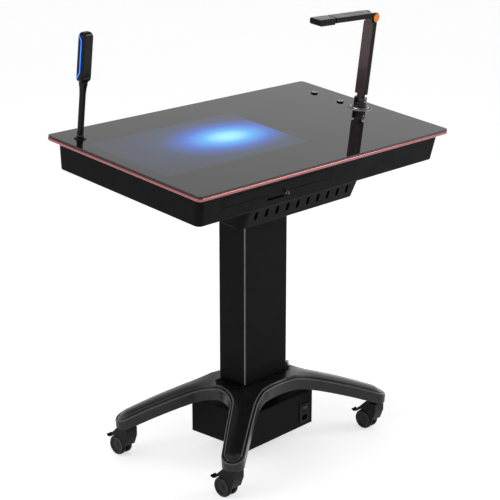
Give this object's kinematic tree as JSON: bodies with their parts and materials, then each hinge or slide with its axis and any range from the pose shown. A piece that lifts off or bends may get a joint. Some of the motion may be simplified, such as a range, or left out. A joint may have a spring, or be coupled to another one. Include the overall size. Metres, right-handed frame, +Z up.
{
  "type": "video magnifier",
  "caption": "Mobile height-adjustable reading desk with a built-in display, keyboard drawer, folding document camera, desk microphone and a cast base on braked casters.",
  "frame": {"origin": "on the floor, at the middle of the bounding box", "axes": "+Z up, +Y from the user's edge with the keyboard drawer to the far edge, +X to the user's right"},
  "size_m": [1.15, 0.6371, 1.373],
  "materials": {
    "black_coat": "satin powder coat",
    "cast_coat": "satin lacquer",
    "steel": "drawn",
    "plate_steel": "dark zinc",
    "deck_board": "black fibreboard",
    "module_case": "plated case",
    "rose_metal": "polished, anodised rose",
    "black_glass": "polished, black backed",
    "screen": "screen film",
    "black_plastic": "fine satin",
    "key_plastic": "matte",
    "bronze": "dark bronze",
    "light_metal": "satin anodised",
    "chrome": "polished",
    "orange": "satin",
    "blue_light": "light guide",
    "board": "circuit board",
    "rubber": "hard tread",
    "lens": "coated"
  },
  "bodies": {
    "base": {"base_casting": "cast_coat", "column_foot_plate": "black_coat", "inner_mast": "steel", "mast_glide": "black_plastic", "lift_motor": "plate_steel", "lift_tube": "plate_steel", "equipment_box": "black_coat", "box_cover": "black_coat", "power_supply": "module_case", "power_inlet": "black_plastic"},
    "power_switch": {"power_switch": "black_plastic"},
    "fuse_drawer": {"fuse_drawer": "black_plastic"},
    "desk": {"column_sleeve": "black_coat", "lift_rod": "steel", "desk_bracket": "plate_steel", "under_housing": "black_coat", "desk_housing": "black_coat", "deck_plate": "deck_board", "glass_top": "black_glass", "edge_trim": "rose_metal", "display_module": "screen", "computer_module": "module_case", "control_board": "board", "drawer_rail_left": "steel", "drawer_rail_right": "steel", "camera_ring": "chrome", "mic_socket": "chrome"},
    "drawer": {"drawer_tray": "black_coat", "drawer_front": "black_coat", "keyboard": "black_plastic", "keyboard_keys": "key_plastic"},
    "drawer_latch": {"drawer_latch": "light_metal"},
    "camera_turret": {"camera_turret": "black_plastic", "tilt_pin": "steel"},
    "lower_arm": {"lower_arm": "black_plastic", "lower_arm_cover": "bronze", "elbow_pin": "orange"},
    "upper_arm": {"upper_arm": "black_plastic", "upper_arm_cover": "light_metal"},
    "camera_head": {"camera_head": "black_plastic", "head_cover": "light_metal", "camera_lens": "lens"},
    "microphone": {"mic_pole": "black_plastic", "mic_head": "black_plastic", "mic_light_left": "blue_light", "mic_light_right": "blue_light"},
    "volume_knob": {"volume_knob": "chrome"},
    "menu_knob": {"menu_knob": "chrome"},
    "caster_fork_front_left": {"caster_fork_front_left": "black_plastic"},
    "caster_wheels_front_left": {"caster_wheels_front_left": "rubber"},
    "caster_pedal_front_left": {"caster_pedal_front_left": "black_plastic"},
    "caster_fork_front_right": {"caster_fork_front_right": "black_plastic"},
    "caster_wheels_front_right": {"caster_wheels_front_right": "rubber"},
    "caster_pedal_front_right": {"caster_pedal_front_right": "black_plastic"},
    "caster_fork_back_left": {"caster_fork_back_left": "black_plastic"},
    "caster_wheels_back_left": {"caster_wheels_back_left": "rubber"},
    "caster_pedal_back_left": {"caster_pedal_back_left": "black_plastic"},
    "caster_fork_back_right": {"caster_fork_back_right": "black_plastic"},
    "caster_wheels_back_right": {"caster_wheels_back_right": "rubber"},
    "caster_pedal_back_right": {"caster_pedal_back_right": "black_plastic"}
  },
  "joints": [
    {"name": "lift_slide", "type": "slide", "parent": "base", "child": "desk", "axis": [0, 0, 1], "range_m": [0, 0.25]},
    {"name": "drawer_slide", "type": "slide", "parent": "desk", "child": "drawer", "axis": [0, -0.9915, -0.1302], "range_m": [0, 0.2]},
    {"name": "latch_turn", "type": "hinge", "parent": "drawer", "child": "drawer_latch", "pos_m": [-0.187, -0.2876, 0.92517], "axis": [0, 0.9915, 0.1302], "range_deg": [0, 90]},
    {"name": "camera_swivel", "type": "hinge", "parent": "desk", "child": "camera_turret", "pos_m": [0.5, -0.01715, 1.05347], "axis": [0, -0.1302, 0.9915], "range_deg": [-120, 120]},
    {"name": "camera_tilt", "type": "hinge", "parent": "camera_turret", "child": "lower_arm", "pos_m": [0.5, -0.01715, 1.05347], "axis": [0, 0.9915, 0.1302], "range_deg": [-38, 12]},
    {"name": "camera_elbow", "type": "hinge", "parent": "lower_arm", "child": "upper_arm", "pos_m": [0.5, -0.0536, 1.33109], "axis": [0, 0.9915, 0.1302], "range_deg": [-45, 90]},
    {"name": "head_twist", "type": "hinge", "parent": "upper_arm", "child": "camera_head", "pos_m": [0.50017, -0.05464, 1.33902], "axis": [0.9998, 0.0027, -0.0208], "range_deg": [-90, 90]},
    {"name": "mic_swivel", "type": "hinge", "parent": "desk", "child": "microphone", "pos_m": [-0.514, 0.21803, 1.05207], "axis": [0, -0.1302, 0.9915], "range_deg": [-170, 170]},
    {"name": "volume_knob_turn", "type": "hinge", "parent": "desk", "child": "volume_knob", "pos_m": [0.494, 0.17342, 1.04621], "axis": [0, -0.1302, 0.9915], "range_deg": [-135, 135]},
    {"name": "menu_knob_turn", "type": "hinge", "parent": "desk", "child": "menu_knob", "pos_m": [0.493, 0.06237, 1.03163], "axis": [0, -0.1302, 0.9915], "range_deg": [-135, 135]},
    {"name": "power_switch_rock", "type": "hinge", "parent": "base", "child": "power_switch", "pos_m": [0.114, -0.112, 0.117], "axis": [1, 0, 0], "range_deg": [-8, 8]},
    {"name": "fuse_drawer_slide", "type": "slide", "parent": "base", "child": "fuse_drawer", "axis": [0, -1, 0], "range_m": [0, 0.014]},
    {"name": "swivel_front_left", "type": "hinge", "parent": "base", "child": "caster_fork_front_left", "pos_m": [-0.34316, -0.2223, 0.0985], "axis": [0, 0, 1], "continuous": true},
    {"name": "roll_front_left", "type": "hinge", "parent": "caster_fork_front_left", "child": "caster_wheels_front_left", "pos_m": [-0.34316, -0.1923, 0.032], "axis": [1, 0, 0], "continuous": true},
    {"name": "brake_front_left", "type": "hinge", "parent": "caster_fork_front_left", "child": "caster_pedal_front_left", "pos_m": [-0.34316, -0.1703, 0.064], "axis": [1, 0, 0], "range_deg": [-13, 0]},
    {"name": "swivel_front_right", "type": "hinge", "parent": "base", "child": "caster_fork_front_right", "pos_m": [0.34316, -0.2223, 0.0985], "axis": [0, 0, 1], "continuous": true},
    {"name": "roll_front_right", "type": "hinge", "parent": "caster_fork_front_right", "child": "caster_wheels_front_right", "pos_m": [0.34316, -0.1923, 0.032], "axis": [1, 0, 0], "continuous": true},
    {"name": "brake_front_right", "type": "hinge", "parent": "caster_fork_front_right", "child": "caster_pedal_front_right", "pos_m": [0.34316, -0.1703, 0.064], "axis": [1, 0, 0], "range_deg": [-13, 0]},
    {"name": "swivel_back_left", "type": "hinge", "parent": "base", "child": "caster_fork_back_left", "pos_m": [-0.34316, 0.2337, 0.0985], "axis": [0, 0, 1], "continuous": true},
    {"name": "roll_back_left", "type": "hinge", "parent": "caster_fork_back_left", "child": "caster_wheels_back_left", "pos_m": [-0.34316, 0.2637, 0.032], "axis": [1, 0, 0], "continuous": true},
    {"name": "brake_back_left", "type": "hinge", "parent": "caster_fork_back_left", "child": "caster_pedal_back_left", "pos_m": [-0.34316, 0.2857, 0.064], "axis": [1, 0, 0], "range_deg": [-13, 0]},
    {"name": "swivel_back_right", "type": "hinge", "parent": "base", "child": "caster_fork_back_right", "pos_m": [0.34316, 0.2337, 0.0985], "axis": [0, 0, 1], "continuous": true},
    {"name": "roll_back_right", "type": "hinge", "parent": "caster_fork_back_right", "child": "caster_wheels_back_right", "pos_m": [0.34316, 0.2637, 0.032], "axis": [1, 0, 0], "continuous": true},
    {"name": "brake_back_right", "type": "hinge", "parent": "caster_fork_back_right", "child": "caster_pedal_back_right", "pos_m": [0.34316, 0.2857, 0.064], "axis": [1, 0, 0], "range_deg": [-13, 0]}
  ]
}
